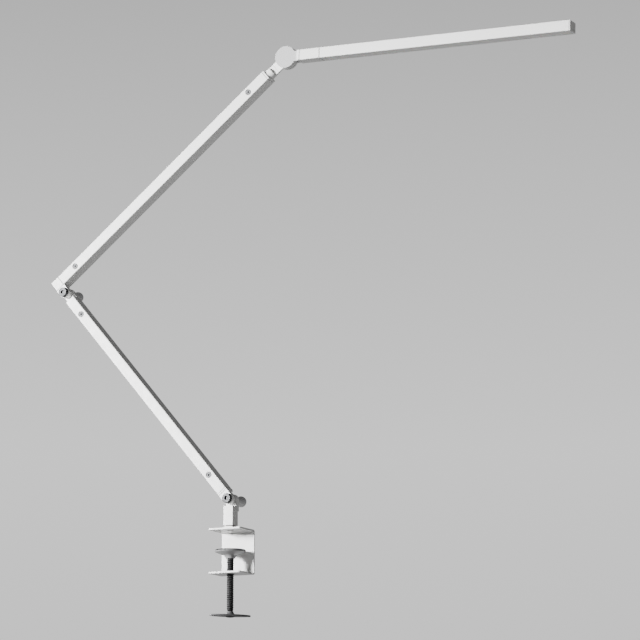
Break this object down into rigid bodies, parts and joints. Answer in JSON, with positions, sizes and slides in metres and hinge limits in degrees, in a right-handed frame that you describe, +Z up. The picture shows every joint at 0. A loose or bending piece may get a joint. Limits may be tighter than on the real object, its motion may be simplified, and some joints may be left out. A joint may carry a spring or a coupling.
{
  "type": "architect desk lamp",
  "caption": "Clamp-on architect desk lamp with two square-tube arms, hand-knob pivots, a swivel neck and a slim tilting LED bar.",
  "frame": {"origin": "on the pan axis, at the underside of the clamp's top flange, where it sits on a desk", "axes": "+Z up along the post and the clamp screw; +X the way the lamp head reaches; -Y the side that the pivot bolts' heads face, and the open side of the clamp"},
  "size_m": [0.7996, 0.058, 0.7957],
  "materials": {
    "black_plastic": "black acetal",
    "black_rubber": "black rubber",
    "black_steel": "black oxide steel",
    "board_green": "green solder mask",
    "board_white": "white solder mask",
    "brass": "machined brass",
    "bright_steel": "bright zinc-plated steel",
    "dark_steel": "dark grey powder coat",
    "grey_plastic": "light grey moulded plastic",
    "opal_diffuser": "opal acrylic",
    "white_enamel": "satin white enamel"
  },
  "bodies": {
    "clamp": {"clamp_bracket": "white_enamel", "clamp_nut": "bright_steel", "pan_base": "white_enamel", "pan_washer": "black_plastic", "pan_bolt": "bright_steel"},
    "jaw": {"pad_cup": "grey_plastic", "pad_facing": "black_rubber"},
    "screw": {"clamp_screw": "black_steel", "wing_handle": "dark_steel", "handle_rivet": "bright_steel"},
    "post": {"post": "white_enamel", "pan_grub_screw": "bright_steel", "shoulder_friction_washer": "black_plastic", "shoulder_rear_washer": "bright_steel"},
    "lower_arm": {"lower_arm_tube": "white_enamel", "shoulder_ear": "white_enamel", "elbow_tang": "white_enamel", "lower_arm_screw_1": "bright_steel", "lower_arm_screw_2": "bright_steel", "shoulder_bolt": "bright_steel", "shoulder_front_washer": "bright_steel", "elbow_friction_washer": "black_plastic", "elbow_rear_washer": "bright_steel"},
    "shoulder_knob": {"shoulder_knob": "grey_plastic", "shoulder_knob_insert": "brass"},
    "upper_arm": {"upper_arm_tube": "white_enamel", "elbow_block": "white_enamel", "elbow_bolt": "bright_steel", "elbow_front_washer": "bright_steel", "upper_arm_screw_1": "bright_steel", "upper_arm_screw_2": "bright_steel", "upper_end_cap": "white_enamel", "neck_bush": "black_plastic", "neck_grub_screw": "bright_steel"},
    "elbow_knob": {"elbow_knob": "grey_plastic", "elbow_knob_insert": "brass"},
    "neck": {"neck_stem": "white_enamel", "neck_tang": "white_enamel", "tang_pin_1": "bright_steel", "tang_pin_2": "bright_steel"},
    "head": {"head_knuckle": "white_enamel", "hinge_bolt": "bright_steel", "hinge_washer_front": "black_plastic", "hinge_washer_rear": "black_plastic", "head_connector": "white_enamel", "control_board": "board_green", "dc_inlet": "black_plastic", "head_joiner": "grey_plastic", "led_housing": "white_enamel", "led_board": "board_white", "diffuser": "opal_diffuser", "head_end_cap": "white_enamel"}
  },
  "joints": [
    {"name": "jaw_travel", "type": "slide", "parent": "clamp", "child": "jaw", "axis": [0, 0, 1], "range_m": [-0.015, 0.025]},
    {"name": "screw_turn", "type": "hinge", "parent": "jaw", "child": "screw", "pos_m": [0, 0, -0.06], "axis": [0, 0, 1], "range_deg": [-1800, 3000]},
    {"name": "pan", "type": "hinge", "parent": "clamp", "child": "post", "pos_m": [0, 0, 0.006], "axis": [0, 0, 1], "range_deg": [-180, 180]},
    {"name": "shoulder", "type": "hinge", "parent": "post", "child": "lower_arm", "pos_m": [0, 0, 0.04335], "axis": [0, 1, 0], "range_deg": [-35, 40]},
    {"name": "shoulder_knob_turn", "type": "hinge", "parent": "lower_arm", "child": "shoulder_knob", "pos_m": [0, 0.021, 0.04335], "axis": [0, 1, 0], "range_deg": [0, 720]},
    {"name": "elbow", "type": "hinge", "parent": "lower_arm", "child": "upper_arm", "pos_m": [-0.26584, 0, 0.35549], "axis": [0, 1, 0], "range_deg": [-75, 45]},
    {"name": "elbow_knob_turn", "type": "hinge", "parent": "upper_arm", "child": "elbow_knob", "pos_m": [-0.26584, 0.021, 0.35549], "axis": [0, 1, 0], "range_deg": [0, 720]},
    {"name": "neck_swivel", "type": "hinge", "parent": "upper_arm", "child": "neck", "pos_m": [0.05692, 0, 0.63831], "axis": [0.7779, 0, 0.6284], "range_deg": [-90, 90]},
    {"name": "head_tilt", "type": "hinge", "parent": "neck", "child": "head", "pos_m": [0.08493, 0, 0.66094], "axis": [0, 1, 0], "range_deg": [-90, 40]}
  ],
  "couplings": [
    {"joint": "screw_turn", "follows": "jaw_travel", "rad_per_m": 2094.4}
  ]
}
